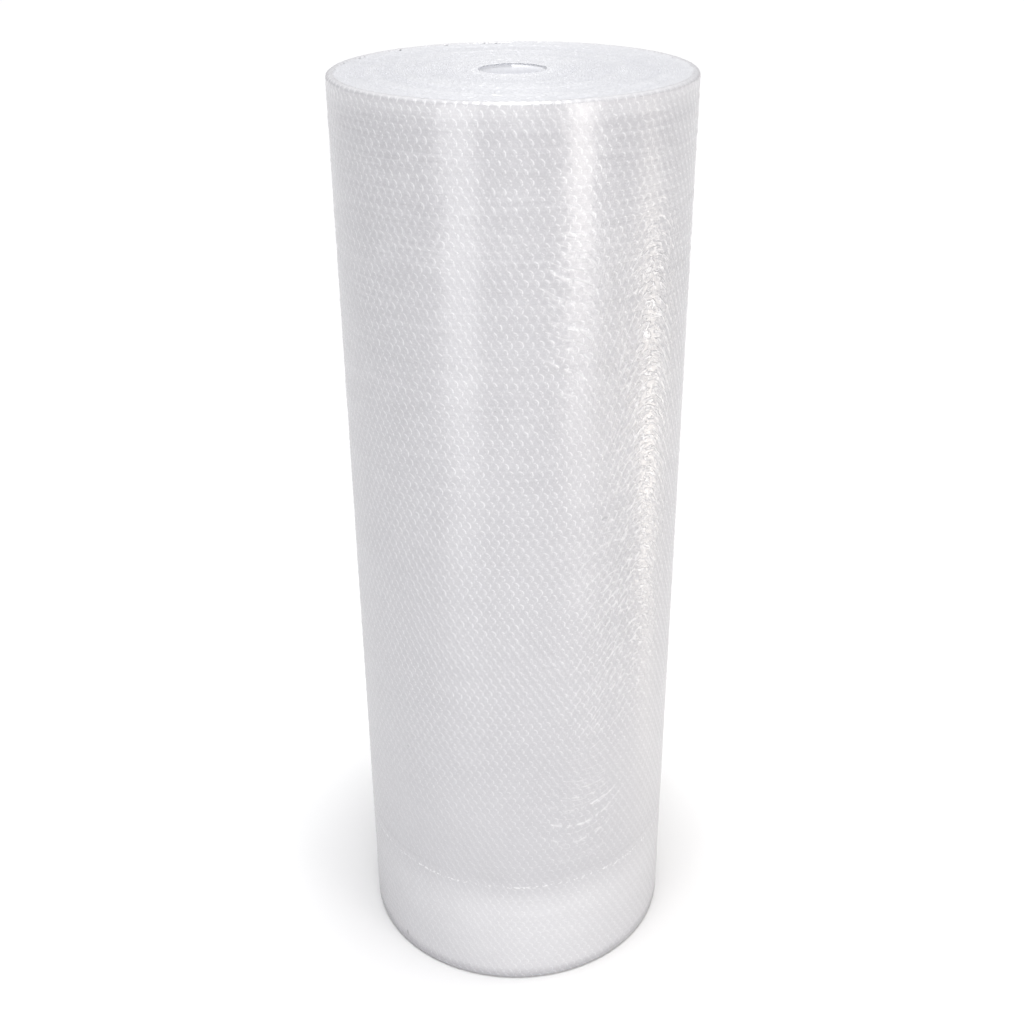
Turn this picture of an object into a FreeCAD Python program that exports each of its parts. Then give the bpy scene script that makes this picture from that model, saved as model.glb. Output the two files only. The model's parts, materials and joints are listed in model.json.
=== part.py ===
import FreeCAD
import Part
import Sketcher
import math
import os
from typing import NamedTuple

# Bubble wrap roll: one long web of bubble film wound on itself and stood on one end.
# Millimetres. The origin is on the winding axis at the base, +Z is up and the free end
# of the web lies at the back, on the +Y side.
#
# The winding is a spiral of half circles. The half turns on the -X side share one axis
# and those on the +X side share a second axis, half a turn's pitch further along +Y, so
# the arcs meet smoothly at the front and step out by one pitch at the back.

NODE = "bubble_wrap_roll"

SIZES = {
    # Overall form of the winding.
    "web_width": 1200.0,
    "roll_radius": 211.0,
    "web_thickness": 5.0,
    "eye_radius": 38.0,
    "top_rim_rounding": 4.0,
    "base_rim_bevel": 3.0,
    # Ridges that the edges of the turns make on the two ends. On the base the weight of
    # the roll presses several turns into each ridge and leaves a flat foot round them.
    "rim_land": 9.0,
    "eye_land": 5.0,
    "top_ridge_depth": 2.6,
    "base_turns_per_ridge": 5.0,
    "base_land": 9.0,
    "base_ridge_depth": 1.6,
    "crest_drop": 0.4,
    # Hoop creases where the web was pulled tight round the roll.
    "crease_depth": 1.2,
    "crease_half_width": 5.0,
    "low_crease_height": 170.0,
    "upper_crease_height": 905.0,
    "upper_crease_spacing": 92.0,
    "upper_crease_count": 2.0,
    # How far cutting outlines reach past the surface they cut.
    "cut_reach": 2.0,
}

LEFT = 1
RIGHT = -1
HALF_TURN = 180.0
TOP = "sizes.web_width"
BASE = "0 * sizes.web_width"
FIRST_AXIS = "0 * sizes.web_thickness"
SECOND_AXIS = "-0.5 * sizes.web_thickness"


class RollEnd(NamedTuple):
    """One end of the roll: its height, its ridges and the sign of the way inwards."""

    name: str
    height: str
    pitch: str
    land: str
    depth: str
    inward: str


TOP_END = RollEnd(
    "top",
    TOP,
    "sizes.web_thickness",
    "sizes.rim_land",
    "sizes.top_ridge_depth",
    "(-1)",
)
BASE_END = RollEnd(
    "base",
    BASE,
    "sizes.base_turns_per_ridge * sizes.web_thickness",
    "sizes.base_land",
    "sizes.base_ridge_depth",
    "1",
)

doc = FreeCAD.newDocument("bubble_wrap_roll")
sheet = doc.addObject("Spreadsheet::Sheet", "sizes")
for row, (alias, size) in enumerate(SIZES.items(), start=1):
    cell = "B" + str(row)
    sheet.set("A" + str(row), alias)
    sheet.set(cell, str(size))
    sheet.setAlias(cell, alias)
doc.recompute()


def value(expression):
    """Work out an expression of the sheet's sizes as a plain number."""
    return float(sheet.evalExpression(expression))


def origin_plane(body, role):
    """Find one of a body's own origin planes by its role."""
    return next(item for item in body.Origin.OriginFeatures if item.Role == role)


def new_sketch(body, role, name):
    """Add a sketch that lies on one of the body's origin planes."""
    sketch = body.newObject("Sketcher::SketchObject", name)
    sketch.AttachmentSupport = [(origin_plane(body, role), "")]
    sketch.MapMode = "FlatFace"
    return sketch


def tie(sketch, constraint, expression):
    """Add a driving dimension and bind it to the sizes."""
    index = sketch.addConstraint(constraint)
    sketch.setExpression("Constraints[" + str(index) + "]", expression)


def pin(sketch, edge, end, along, up, side):
    """Tie one point of an outline to its distance along the plane and its height."""
    reach = value(along)
    if side == LEFT:
        across = Sketcher.Constraint("DistanceX", -1, 1, edge, end, reach)
    else:
        across = Sketcher.Constraint("DistanceX", edge, end, -1, 1, reach)
    tie(sketch, across, along)
    tie(sketch, Sketcher.Constraint("DistanceY", -1, 1, edge, end, value(up)), up)


def point(along, up, side):
    """Place a point of the sketch plane on the chosen side of the winding axis."""
    return FreeCAD.Vector(side * value(along), value(up), 0)


def quarter_arc(start, stop, centre, radius, side):
    """Make the arc between two corners, counter-clockwise as sketches keep arcs."""
    first, last = (start, stop) if side == LEFT else (stop, start)
    circle = Part.Circle(centre, FreeCAD.Vector(0, 0, 1), radius)
    first_angle = math.atan2(first.y - centre.y, first.x - centre.x)
    last_angle = math.atan2(last.y - centre.y, last.x - centre.x)
    return Part.ArcOfCircle(circle, first_angle, last_angle)


def draw_outline(sketch, corners, side, rounds=None):
    """Draw a closed outline through its corners and tie every corner to the sizes.

    corners holds (along, up) expressions in order. rounds maps the number of an edge
    that is an arc to the expressions of its centre and radius.
    """
    rounds = rounds or {}
    places = [point(along, up, side) for along, up in corners]
    count = len(corners)
    edges = []
    for number, place in enumerate(places):
        following = places[(number + 1) % count]
        if number in rounds:
            centre_along, centre_up, radius = rounds[number]
            centre = point(centre_along, centre_up, side)
            edges.append(quarter_arc(place, following, centre, value(radius), side))
        else:
            edges.append(Part.LineSegment(place, following))
    sketch.addGeometry(edges, False)

    def ends(number):
        reversed_arc = number in rounds and side == RIGHT
        return (2, 1) if reversed_arc else (1, 2)

    for number in range(count):
        following = (number + 1) % count
        joint = Sketcher.Constraint(
            "Coincident", number, ends(number)[1], following, ends(following)[0]
        )
        sketch.addConstraint(joint)
    for number, (along, up) in enumerate(corners):
        pin(sketch, number, ends(number)[0], along, up, side)
    for number, (centre_along, centre_up, radius) in rounds.items():
        tie(sketch, Sketcher.Constraint("Radius", number, value(radius)), radius)


def add_axis(sketch, side, pitch):
    """Give the sketch its winding axis: its vertical, or a line half a pitch along +Y."""
    if side == LEFT:
        return (sketch, ["V_Axis"])
    shift = "0.5 * " + pitch
    foot = FreeCAD.Vector(value(shift), 0, 0)
    head = FreeCAD.Vector(value(shift), value(TOP), 0)
    line = sketch.addGeometry(Part.LineSegment(foot, head), True)
    sketch.addConstraint(Sketcher.Constraint("Vertical", line))
    tie(sketch, Sketcher.Constraint("DistanceX", -1, 1, line, 1, foot.x), shift)
    sketch.addConstraint(Sketcher.Constraint("PointOnObject", line, 1, -1))
    tie(sketch, Sketcher.Constraint("DistanceY", line, 1, line, 2, head.y), TOP)
    return (sketch, ["Axis0"])


def turn_profile(body, kind, name, sketch, axis):
    """Turn a profile half way round its axis, as material or as a cut."""
    feature = body.newObject(kind, name)
    feature.Profile = sketch
    feature.ReferenceAxis = axis
    feature.Angle = HALF_TURN
    sketch.Visibility = False
    doc.recompute()
    return feature


def crease_heights():
    """List the heights of the hoop creases, lowest first."""
    heights = ["sizes.low_crease_height"]
    for number in range(int(value("sizes.upper_crease_count"))):
        rise = str(number) + " * sizes.upper_crease_spacing"
        heights.append("sizes.upper_crease_height + " + rise)
    return heights


def half_roll(body, side, name):
    """Build the half turns on one side: the wall, its two rims and its creases."""
    sketch = new_sketch(body, "YZ_Plane", name + "_profile")
    wall = "sizes.roll_radius"
    inset = "sizes.roll_radius - sizes.top_rim_rounding"
    valley = "sizes.roll_radius - sizes.crease_depth"
    shoulder = "sizes.web_width - sizes.top_rim_rounding"
    hub = FIRST_AXIS if side == LEFT else SECOND_AXIS

    corners = [(hub, BASE), ("sizes.roll_radius - sizes.base_rim_bevel", BASE)]
    corners.append((wall, "sizes.base_rim_bevel"))
    for height in crease_heights():
        corners.append((wall, height + " - sizes.crease_half_width"))
        corners.append((valley, height))
        corners.append((wall, height + " + sizes.crease_half_width"))
    rounds = {len(corners): (inset, shoulder, "sizes.top_rim_rounding")}
    corners.append((wall, shoulder))
    corners.append((inset, TOP))
    corners.append((hub, TOP))
    draw_outline(sketch, corners, side, rounds)
    axis = add_axis(sketch, side, "sizes.web_thickness")
    return turn_profile(body, "PartDesign::Revolution", name, sketch, axis)


def ridge_corners(end):
    """Outline the saw of valleys between the edges of the turns on one end.

    The saw starts one pitch inside the outermost turn, which it reaches at the back.
    """
    rim = "sizes.roll_radius + sizes.web_thickness - " + end.land
    start = rim + " - " + end.pitch
    room = value(start + " - sizes.eye_radius - sizes.eye_land")
    count = int(room / value(end.pitch))
    outside = end.height + " - " + end.inward + " * sizes.cut_reach"
    valley = end.height + " + " + end.inward + " * " + end.depth
    crest = end.height + " + " + end.inward + " * sizes.crest_drop"
    corners = [(start, outside)]
    for number in range(count):
        if number > 0:
            corners.append((start + " - " + str(number) + " * " + end.pitch, crest))
        corners.append((start + " - " + str(number + 0.5) + " * " + end.pitch, valley))
    corners.append((start + " - " + str(count) + " * " + end.pitch, outside))
    return corners


def end_ridges(body, side, name, end):
    """Cut the valleys of one end on one side of the roll."""
    sketch = new_sketch(body, "YZ_Plane", name + "_profile")
    draw_outline(sketch, ridge_corners(end), side)
    axis = add_axis(sketch, side, end.pitch)
    return turn_profile(body, "PartDesign::Groove", name, sketch, axis)


def winding_eye(body):
    """Cut the open eye that the winding spindle left, right through the roll."""
    sketch = new_sketch(body, "XY_Plane", "winding_eye_circle")
    centre = FreeCAD.Vector(0, 0, 0)
    radius = value("sizes.eye_radius")
    circle = Part.Circle(centre, FreeCAD.Vector(0, 0, 1), radius)
    ring = sketch.addGeometry(circle, False)
    sketch.addConstraint(Sketcher.Constraint("Coincident", ring, 3, -1, 1))
    tie(sketch, Sketcher.Constraint("Radius", ring, radius), "sizes.eye_radius")
    pocket = body.newObject("PartDesign::Pocket", "winding_eye")
    pocket.Profile = sketch
    pocket.Type = "ThroughAll"
    pocket.Reversed = True
    sketch.Visibility = False
    doc.recompute()
    return pocket


roll = doc.addObject("PartDesign::Body", "roll")
roll.Label = NODE

half_roll(roll, LEFT, "left_half_turns")
half_roll(roll, RIGHT, "right_half_turns")
winding_eye(roll)

for roll_end in (TOP_END, BASE_END):
    end_ridges(roll, LEFT, "left_" + roll_end.name + "_ridges", roll_end)
    end_ridges(roll, RIGHT, "right_" + roll_end.name + "_ridges", roll_end)

doc.recompute()

for item in doc.Objects:
    if "Invalid" in item.State or "Error" in item.State:
        raise RuntimeError(item.Name + " failed to build")
shape = roll.Shape
if shape.isNull() or not shape.isValid() or len(shape.Solids) != 1:
    raise RuntimeError(NODE + " is not one valid solid")

os.makedirs("parts", exist_ok=True)
shape.exportStep("parts/" + NODE + ".step")
print(NODE, "volume", round(shape.Volume), "box", shape.BoundBox)
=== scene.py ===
import json
import logging
import math
from dataclasses import dataclass, field
from enum import Enum
from typing import Iterable, Sequence, Union

import bpy
from mathutils import Matrix, Vector


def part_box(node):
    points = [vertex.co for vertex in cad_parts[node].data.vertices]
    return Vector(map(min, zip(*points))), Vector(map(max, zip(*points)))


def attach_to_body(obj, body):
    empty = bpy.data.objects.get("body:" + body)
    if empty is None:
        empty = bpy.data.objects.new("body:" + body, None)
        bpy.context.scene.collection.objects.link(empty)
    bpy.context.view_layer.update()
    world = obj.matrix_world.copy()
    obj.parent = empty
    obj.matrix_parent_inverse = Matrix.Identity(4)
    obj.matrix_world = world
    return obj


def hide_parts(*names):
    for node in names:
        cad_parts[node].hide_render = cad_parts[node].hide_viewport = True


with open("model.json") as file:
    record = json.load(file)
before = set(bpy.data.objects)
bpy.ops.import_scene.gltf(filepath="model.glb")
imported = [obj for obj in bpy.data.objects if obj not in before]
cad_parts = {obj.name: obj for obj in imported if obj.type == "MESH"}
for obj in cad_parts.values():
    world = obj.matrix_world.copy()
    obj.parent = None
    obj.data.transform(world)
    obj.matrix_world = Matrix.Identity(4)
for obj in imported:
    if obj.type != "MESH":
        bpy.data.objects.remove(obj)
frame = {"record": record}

# A tall roll of bubble film stood on one end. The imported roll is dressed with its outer
# film over a lattice of bubbles, the spiral of film edges on each end, the free edge of
# the film at the back and the open eye in the middle. Metres throughout.

LOG = logging.getLogger("bubble_wrap_roll")
NODE = "bubble_wrap_roll"
BODY = "root"
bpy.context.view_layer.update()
SEED = 7
TURN = 2.0 * math.pi
QUARTER_TURN = 0.5 * math.pi
ROW_RATIO = math.sqrt(3.0) / 2.0
WELD_GAP = 0.0001
Colour = tuple[float, float, float, float]


class Domain(Enum):
    """Where a stored attribute lives."""

    POINT = "POINT"
    INSTANCE = "INSTANCE"


class Kind(Enum):
    """What a stored attribute holds."""

    NUMBER = "FLOAT"
    VECTOR = "FLOAT_VECTOR"


class RollEnd(Enum):
    """The two ends of the roll, each with the sign of its outward direction."""

    TOP = 1
    BASE = -1


class Field:
    """One value of a node tree. Arithmetic on it adds Math nodes to the tree."""

    def __init__(self, graph: "Graph", socket: bpy.types.NodeSocket) -> None:
        """Keep the tree and the socket that gives the value."""
        self.graph = graph
        self.socket = socket

    def __add__(self, other: "Operand") -> "Field":
        """Add."""
        return self.graph.math("ADD", self, other)

    def __radd__(self, other: "Operand") -> "Field":
        """Add from the right."""
        return self.graph.math("ADD", other, self)

    def __sub__(self, other: "Operand") -> "Field":
        """Subtract."""
        return self.graph.math("SUBTRACT", self, other)

    def __rsub__(self, other: "Operand") -> "Field":
        """Subtract from another value."""
        return self.graph.math("SUBTRACT", other, self)

    def __mul__(self, other: "Operand") -> "Field":
        """Multiply."""
        return self.graph.math("MULTIPLY", self, other)

    def __rmul__(self, other: "Operand") -> "Field":
        """Multiply from the right."""
        return self.graph.math("MULTIPLY", other, self)

    def __truediv__(self, other: "Operand") -> "Field":
        """Divide."""
        return self.graph.math("DIVIDE", self, other)

    def __pow__(self, other: "Operand") -> "Field":
        """Raise to a power."""
        return self.graph.math("POWER", self, other)


Operand = Union[Field, float, int]


class Graph:
    """A node tree under construction, for geometry and for materials alike."""

    def __init__(self, tree: bpy.types.NodeTree) -> None:
        """Start on an empty tree."""
        self.tree = tree
        tree.nodes.clear()

    def node(self, kind: str, feeds: dict | None = None, **settings: object) -> bpy.types.Node:
        """Add a node.

        Args:
            kind: The node's type.
            feeds: Values or links for its inputs, by name or by number.
            settings: Plain properties of the node.

        Returns:
            The new node.
        """
        made = self.tree.nodes.new(kind)
        for name, setting in settings.items():
            setattr(made, name, setting)
        for key, value in (feeds or {}).items():
            self.feed(made.inputs[key], value)
        return made

    def feed(self, socket: bpy.types.NodeSocket, value: object) -> None:
        """Link a value into a socket, or set a plain value on it.

        Args:
            socket: The input to feed.
            value: A field, an output socket or a plain value.
        """
        if isinstance(value, Field):
            value = value.socket
        if isinstance(value, bpy.types.NodeSocket):
            self.tree.links.new(value, socket)
        else:
            socket.default_value = value

    def out(self, made: bpy.types.Node, key: int | str = 0) -> Field:
        """Give one output of a node as a value."""
        return Field(self, made.outputs[key])

    def math(self, operation: str, *values: Operand) -> Field:
        """Add one Math node over the values."""
        return self.out(self.node("ShaderNodeMath", dict(enumerate(values)), operation=operation))

    def bell(self, value: Field, centre: float, width: float) -> Field:
        """Give a smooth bump that is 1 at the centre and fades over the width."""
        away = (value - centre) / width
        return self.math("EXPONENT", -1.0 * away * away)

    def limit(self, value: Operand, low: Operand, high: Operand) -> Field:
        """Keep a value between two limits."""
        return self.math("MINIMUM", self.math("MAXIMUM", value, low), high)

    def vector(self, x: Operand, y: Operand, z: Operand) -> Field:
        """Join three values into a vector."""
        return self.out(self.node("ShaderNodeCombineXYZ", {0: x, 1: y, 2: z}))

    def parts(self, vector: Field) -> tuple[Field, Field, Field]:
        """Split a vector into its three values."""
        made = self.node("ShaderNodeSeparateXYZ", {0: vector})
        return self.out(made, 0), self.out(made, 1), self.out(made, 2)

    def ramp(self, value: Field, low: float, high: float) -> Field:
        """Give a smooth step.

        Args:
            value: The value to step on.
            low: Where the step starts, at 0.
            high: Where it ends, at 1.

        Returns:
            The step, from 0 to 1.
        """
        feeds = {"Value": value, "From Min": low, "From Max": high}
        made = self.node("ShaderNodeMapRange", feeds, interpolation_type="SMOOTHSTEP")
        return self.out(made)

    def hex_place(self, across: Field, along: Field) -> tuple[Field, Field]:
        """Place a point among the bubbles of a hexagonal lattice.

        Args:
            across: Place along the rows, in pitches.
            along: Place across the rows, in rows.

        Returns:
            The distance to the nearest bubble's centre, 0 there and about 0.58 pitches at a
            cell's corner, and how far the point lies to the centre's upper left.
        """
        reaches = []
        leans = []
        for lag in (0.0, 1.0):
            du = self.math("FLOORED_MODULO", across + 0.5 * lag, 1.0) - 0.5
            dv = (self.math("FLOORED_MODULO", along + 0.5 - lag, 2.0) - 1.0) * ROW_RATIO
            reaches.append(self.math("SQRT", du * du + dv * dv))
            leans.append(dv * 0.45 - du * 0.9)
        first = self.math("LESS_THAN", reaches[0], reaches[1])
        lean = leans[1] + first * (leans[0] - leans[1])
        return self.math("MINIMUM", reaches[0], reaches[1]), lean

    def noise(self, vector: Field, scale: float, detail: float = 2.0, rough: float = 0.5) -> Field:
        """Give a smooth noise from 0 to 1 over a vector."""
        feeds = {"Vector": vector, "Scale": scale, "Detail": detail, "Roughness": rough}
        return self.out(self.node("ShaderNodeTexNoise", feeds))


class Tree:
    """A Geometry Nodes tree with named inputs, run once on a starting mesh."""

    def __init__(self, name: str) -> None:
        """Start a tree with a geometry input, a geometry output and a material input.

        Args:
            name: What the tree makes.
        """
        self.group = bpy.data.node_groups.new(name, "GeometryNodeTree")
        self.graph = Graph(self.group)
        self.sockets: dict[str, str] = {}
        self.values: dict[str, object] = {}
        self._declare("Geometry", "NodeSocketGeometry", "INPUT")
        self._declare("Geometry", "NodeSocketGeometry", "OUTPUT")
        self._declare("Material", "NodeSocketMaterial", "INPUT")
        self.start = self.graph.node("NodeGroupInput")

    def _declare(self, name: str, kind: str, side: str) -> str:
        """Add a socket to the tree's interface.

        Args:
            name: The socket's name.
            kind: Its type.
            side: INPUT or OUTPUT.

        Returns:
            Its identifier.
        """
        item = self.group.interface.new_socket(name, in_out=side, socket_type=kind)
        if side == "INPUT":
            self.sockets[name] = item.identifier
        return item.identifier

    def size(self, name: str, value: float) -> Field:
        """Add a named size.

        Args:
            name: What the size is.
            value: Its value, in metres or as a share.

        Returns:
            The size as a field.
        """
        self._declare(name, "NodeSocketFloat", "INPUT")
        self.values[name] = float(value)
        return self.graph.out(self.start, name)

    def whole(self, name: str, value: int) -> Field:
        """Add a named whole number.

        Args:
            name: What it counts.
            value: Its value.

        Returns:
            The number as a field.
        """
        self._declare(name, "NodeSocketInt", "INPUT")
        self.values[name] = int(value)
        return self.graph.out(self.start, name)

    def sheet(self, columns: Field, rows: Field) -> tuple[Field, Field, Field]:
        """Add a flat sheet one unit square, for the rest of the tree to shape.

        Args:
            columns: How many points it has along it.
            rows: How many it has across it.

        Returns:
            The sheet, and the place along it and across it, both from 0 to 1.
        """
        graph = self.graph
        feeds = {"Size X": 1.0, "Size Y": 1.0, "Vertices X": columns, "Vertices Y": rows}
        grid = graph.node("GeometryNodeMeshGrid", feeds)
        x, y, _ = graph.parts(graph.out(graph.node("GeometryNodeInputPosition")))
        return graph.out(grid, "Mesh"), x + 0.5, y + 0.5

    def store(self, geometry: Field, name: str, value: Field,
              kind: Kind = Kind.NUMBER, domain: Domain = Domain.POINT) -> Field:
        """Keep a value on the geometry under a name that materials can read.

        Args:
            geometry: The geometry to mark.
            name: The attribute's name.
            value: What to keep.
            kind: Whether that is a number or a vector.
            domain: Where it lives.

        Returns:
            The marked geometry.
        """
        feeds = {"Geometry": geometry, "Name": name, "Value": value}
        made = self.graph.node(
            "GeometryNodeStoreNamedAttribute", feeds, data_type=kind.value, domain=domain.value
        )
        return self.graph.out(made)

    def move(self, geometry: Field, x: Field, y: Field, z: Field) -> Field:
        """Put every point of the geometry in its place.

        Args:
            geometry: The geometry to shape.
            x: Where its points go along X.
            y: Where they go along Y.
            z: Where they go along Z.

        Returns:
            The shaped geometry.
        """
        feeds = {"Geometry": geometry, "Position": self.graph.vector(x, y, z)}
        return self.graph.out(self.graph.node("GeometryNodeSetPosition", feeds))

    def weld(self, geometry: Field) -> Field:
        """Join the points that lie on each other."""
        feeds = {"Geometry": geometry, "Distance": WELD_GAP}
        return self.graph.out(self.graph.node("GeometryNodeMergeByDistance", feeds))

    def finish(self, geometry: Field) -> None:
        """End the tree: real geometry, smooth faces, its material and the output.

        Args:
            geometry: The finished form.
        """
        graph = self.graph
        real = graph.out(graph.node("GeometryNodeRealizeInstances", {"Geometry": geometry}))
        smooth = graph.out(graph.node("GeometryNodeSetShadeSmooth", {"Geometry": real}))
        material = graph.out(self.start, "Material")
        dressed = graph.node("GeometryNodeSetMaterial", {"Geometry": smooth, "Material": material})
        graph.node("NodeGroupOutput", {"Geometry": graph.out(dressed)})

    def run(self, name: str, material: bpy.types.Material,
            mesh: bpy.types.Mesh | None = None) -> bpy.types.Object:
        """Run the tree and keep the result as a plain mesh.

        Args:
            name: The name of the piece.
            material: The finish of the piece.
            mesh: The starting mesh, or none for a tree that makes its own.

        Returns:
            A piece at the origin with no modifier left on it.
        """
        if mesh is None:
            mesh = bpy.data.meshes.new(f"{name}_seed")
            mesh.from_pydata([(0.0, 0.0, 0.0)], [], [])
        piece = bpy.data.objects.new(name, mesh)
        bpy.context.scene.collection.objects.link(piece)
        modifier = piece.modifiers.new(name, "NODES")
        modifier.node_group = self.group
        modifier[self.sockets["Material"]] = material
        for label, value in self.values.items():
            modifier[self.sockets[label]] = value
        graph = bpy.context.evaluated_depsgraph_get()
        result = bpy.data.meshes.new_from_object(piece.evaluated_get(graph), depsgraph=graph)
        piece.modifiers.clear()
        piece.data = result
        result.name = name
        return piece


@dataclass(frozen=True)
class RollForm:
    """The roll's sizes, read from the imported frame.

    The film lies on two half circles: the half on the -X side is centred on the origin,
    the half on the +X side on a point half a web thickness along +Y. Angles run from the
    free edge at the back, clockwise seen from above.
    """

    radius: float
    web: float
    height: float
    eye: float
    rim: float = 0.006
    lip: float = 0.003

    @classmethod
    def from_frame(cls) -> "RollForm":
        """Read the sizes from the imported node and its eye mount.

        Returns:
            The roll's sizes, in metres.
        """
        low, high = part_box(NODE)
        mounts = {mount["name"]: mount for mount in frame["record"]["mounts"]}
        eye = mounts["eye"]["dims"]["r_mm"] / 1000.0
        return cls(radius=-low.y, web=high.y + low.y, height=high.z, eye=eye)

    @property
    def girth(self) -> float:
        """Length of the outermost turn."""
        return math.pi * (2.0 * self.radius + 0.5 * self.web)

    def wall(self, graph: Graph, angle: Field, inset: Operand) -> tuple[Field, Field]:
        """Place a point of the outermost turn in plan.

        Args:
            graph: The tree to add to.
            angle: The angle from the free edge.
            inset: How far inside the wall the point lies.

        Returns:
            Its x and y.
        """
        inner_half = graph.math("GREATER_THAN", angle, math.pi)
        shift = 0.5 * self.web * (1.0 - inner_half)
        reach = shift + self.radius - inset
        x = reach * graph.math("SINE", angle)
        y = reach * graph.math("COSINE", angle) + shift
        return x, y


@dataclass(frozen=True)
class Bend:
    """Where a point of an upright sheet lies once the sheet is turned over at both ends.

    level is its height on the straight. rise grows from 0 to 1 round the upper bend and falls
    to -1 round the lower one, while facing falls from 1 to 0. past_top and past_base are how
    far past each bend it lies, and turned is how far the sheet has moved sideways there.
    """

    level: Field
    rise: Field
    facing: Field
    past_top: Field
    past_base: Field
    turned: Field

    @classmethod
    def over(cls, graph: Graph, run: Field, straight: Operand, rim: Field) -> "Bend":
        """Turn a sheet over at both ends.

        Args:
            graph: The tree to add to.
            run: Place up the sheet, from where the straight begins.
            straight: Length of the straight.
            rim: Radius of both bends.

        Returns:
            The turned sheet's measures.
        """
        level = graph.limit(run, 0.0, straight)
        top_bend = graph.limit((run - straight) / rim, 0.0, QUARTER_TURN)
        base_bend = graph.limit(-1.0 * run / rim, 0.0, QUARTER_TURN)
        past_top = graph.math("MAXIMUM", run - straight - rim * QUARTER_TURN, 0.0)
        past_base = graph.math("MAXIMUM", -1.0 * run - rim * QUARTER_TURN, 0.0)
        rise = graph.math("SINE", top_bend) - graph.math("SINE", base_bend)
        facing = graph.math("COSINE", top_bend) * graph.math("COSINE", base_bend)
        turned = rim * (1.0 - facing) + past_top + past_base
        return cls(level, rise, facing, past_top, past_base, turned)


@dataclass(frozen=True)
class BubbleLattice:
    """The hexagonal lattice of small bubbles, rows running round the roll.

    The pressed land between the bubbles is the common level, so neighbours always meet.
    """

    columns: int = 118
    rim_share: float = 0.44
    dome: float = 0.00055
    shoulder: float = 0.35
    sides: int = 12
    land_mark: float = 0.35

    def pitch(self, form: RollForm) -> float:
        """Distance between bubbles in a row."""
        return form.girth / self.columns

    def row_step(self, form: RollForm) -> float:
        """Distance between rows."""
        return self.pitch(form) * ROW_RATIO

    def cell(self, form: RollForm) -> bpy.types.Mesh:
        """Make one bubble seen through the film: a low dome in a hexagon of pressed land.

        Args:
            form: The roll's sizes.

        Returns:
            The flat cell, centred on the origin.
        """
        pitch = self.pitch(form)
        sides = self.sides
        points = [(0.0, 0.0, self.dome)]
        marks = [0.0]
        for number in range(sides):
            angle = TURN * number / sides
            reach = self.rim_share * pitch
            height = self.shoulder * self.dome
            points.append((reach * math.cos(angle), reach * math.sin(angle), height))
            marks.append(1.0)
        for number in range(6):
            angle = TURN * (number + 0.5) / 6
            reach = pitch / math.sqrt(3.0)
            points.append((reach * math.cos(angle), reach * math.sin(angle), 0.0))
            marks.append(self.land_mark)
        faces = [(0, 1 + number, 1 + (number + 1) % sides) for number in range(sides)]
        for number in range(6):
            near, middle, far = (1 + (2 * number + step) % sides for step in range(3))
            corner = 1 + sides + number
            following = 1 + sides + (number + 1) % 6
            faces += [(near, corner, middle), (middle, corner, far), (far, corner, following)]
        mesh = bpy.data.meshes.new("bubble_cell")
        mesh.from_pydata(points, [], faces)
        edge = mesh.attributes.new("bubble_edge", "FLOAT", "POINT")
        edge.data.foreach_set("value", marks)
        return mesh


@dataclass(frozen=True)
class Crease:
    """One hoop crease where the film was pulled tight: its height, depth and half width."""

    height: float
    depth: float
    half_width: float = 0.004


@dataclass(frozen=True)
class SlackPatch:
    """A patch of slack film: where it is on the wall and how its wrinkles run.

    azimuth is measured from the viewer's side, positive to the viewer's right. arch bends
    the wrinkles down at both ends, or up where it is negative, and slope tilts them.
    """

    azimuth: float
    spread: float
    height: float
    reach: float
    depth: float
    spacing: float
    arch: float
    slope: float = 0.0


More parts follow.
